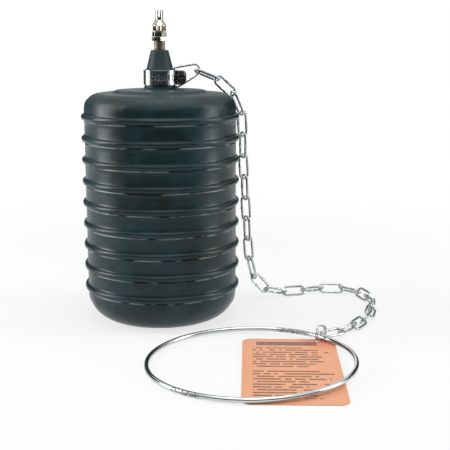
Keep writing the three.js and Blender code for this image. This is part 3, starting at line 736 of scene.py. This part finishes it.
# %% [markdown]
# ## Table and background
# The photograph is a plain studio shot on white. The floor is a pale sheet that still takes the
# object's shadow. Part of its white is its own light, but only towards the camera and in
# reflections, so that it doesn't light the object, and further off all of it is, so that the sheet
# runs into the background without a line. The world is done in the same way.


# %% Floor
def bright_rays(tree):
    rays = add(tree, "ShaderNodeLightPath", {})
    mirrored = add(tree, "ShaderNodeMath", {
        0: rays["Is Glossy Ray"], 1: rays["Is Transmission Ray"]}, operation="MAXIMUM")
    return add(tree, "ShaderNodeMath", {
        0: rays["Is Camera Ray"], 1: mirrored[0]}, operation="MAXIMUM")[0]


floor_mesh = bmesh.new()
bmesh.ops.create_grid(floor_mesh, x_segments=1, y_segments=1, size=4.0)
floor_data = bpy.data.meshes.new("table")
floor_mesh.to_mesh(floor_data)
floor_mesh.free()
floor = bpy.data.objects.new("table", floor_data)
bpy.context.scene.collection.objects.link(floor)
paper, tree, shader, place = start_material("white_paper", 0.0, 0.9)
shader.inputs["Base Color"].default_value = linear("#f4f4f3")
glow = add(tree, "ShaderNodeEmission", {"Color": linear("#ffffff"), "Strength": 1.0})
away = add(tree, "ShaderNodeVectorMath", {0: place}, operation="LENGTH")
fade = add(tree, "ShaderNodeMapRange", {
    "Value": away["Value"], "From Min": 0.25, "From Max": 0.75, "To Min": 0.72},
    interpolation_type="SMOOTHSTEP")
share = add(tree, "ShaderNodeMath", {0: bright_rays(tree), 1: fade[0]}, operation="MULTIPLY")
mixed = add(tree, "ShaderNodeMixShader", {0: share[0], 1: shader.outputs[0], 2: glow[0]})
tree.links.new(mixed[0], tree.nodes["Material Output"].inputs["Surface"])
floor_data.materials.append(paper)
print("floor", floor.name)

# %% World
ROOM_LIGHT = 0.36
world = bpy.data.worlds.new("studio")
bpy.context.scene.world = world
world.use_nodes = True
tree = world.node_tree
background = tree.nodes["Background"]
background.inputs["Color"].default_value = linear("#ffffff")
level = add(tree, "ShaderNodeMapRange", {
    "Value": bright_rays(tree), "To Min": ROOM_LIGHT, "To Max": 1.0})
tree.links.new(level[0], background.inputs["Strength"])
print("world", world.name)

# %% [markdown]
# ## Lamps and dark cards
# Four soft lamps light the object: a tall one at each side, whose long reflections run down the
# rubber, a large one overhead and a weak one at the front. Photographers set dark cards round
# shiny things, so that metal shows crisp dark lines beside the white ones and dark rubber stays
# dark. The cards here are only seen in reflections.


# %% Lamps
def soft_lamp(name, place, aim, size, watts):
    data = bpy.data.lights.new(name, "AREA")
    data.shape = "RECTANGLE"
    data.size, data.size_y = size
    data.energy = watts
    lamp = bpy.data.objects.new(name, data)
    lamp.location = place
    lamp.rotation_euler = (Vector(aim) - Vector(place)).to_track_quat("-Z", "Y").to_euler()
    bpy.context.scene.collection.objects.link(lamp)
    print("lamp", name, watts, "W")


soft_lamp("left", (-1.25, -0.05, 0.5), (0, 0, 0.12), (0.5, 1.0), 12)
soft_lamp("right", (1.2, -0.1, 0.5), (0, 0, 0.12), (0.3, 1.0), 6)
soft_lamp("top", (0.05, -0.15, 1.5), (0.05, -0.05, 0.1), (1.1, 0.9), 8)
soft_lamp("front", (0.1, -1.2, 1.35), (0.05, -0.1, 0.1), (0.5, 0.25), 1.2)
bpy.context.scene.view_settings.view_transform = "Standard"

# %% Dark cards
CARD_RADIUS = 1.9
CARD_FOOT = 0.02
CARD_HEIGHT = 1.1
TABLE_EDGE = 0.55
black_card, tree, shader, place = start_material("black_card", 0.0, 0.9)
shader.inputs["Base Color"].default_value = linear("#1d2427")


# A card lies flat where its far end is further out than its near end, and else stands upright.
def dark_card(name, near, far, start, end):
    card_mesh = bmesh.new()
    way = Vector((math.cos(math.radians(start)), math.sin(math.radians(start)), 0))
    top = CARD_FOOT if near < far else CARD_HEIGHT
    verts = [card_mesh.verts.new(way * out + Vector((0, 0, z)))
             for out, z in ((near, CARD_FOOT), (far, top))]
    edge = card_mesh.edges.new(verts)
    bmesh.ops.spin(card_mesh, geom=verts + [edge], cent=(0, 0, 0), axis=(0, 0, 1),
                   angle=math.radians(end - start), steps=24)
    card_data = bpy.data.meshes.new(name)
    card_mesh.to_mesh(card_data)
    card_mesh.free()
    card_data.materials.append(black_card)
    screen = bpy.data.objects.new(name, card_data)
    bpy.context.scene.collection.objects.link(screen)
    screen.visible_camera = screen.visible_diffuse = False
    screen.visible_shadow = screen.visible_transmission = False
    print(name, "from", start, "to", end, "degrees")


dark_card("card_front", CARD_RADIUS, CARD_RADIUS, -160, -20)
dark_card("card_table_edge", TABLE_EDGE, CARD_RADIUS, -150, -30)
dark_card("card_back_left", CARD_RADIUS, CARD_RADIUS, 104, 160)
dark_card("card_back_right", CARD_RADIUS, CARD_RADIUS, 16, 76)
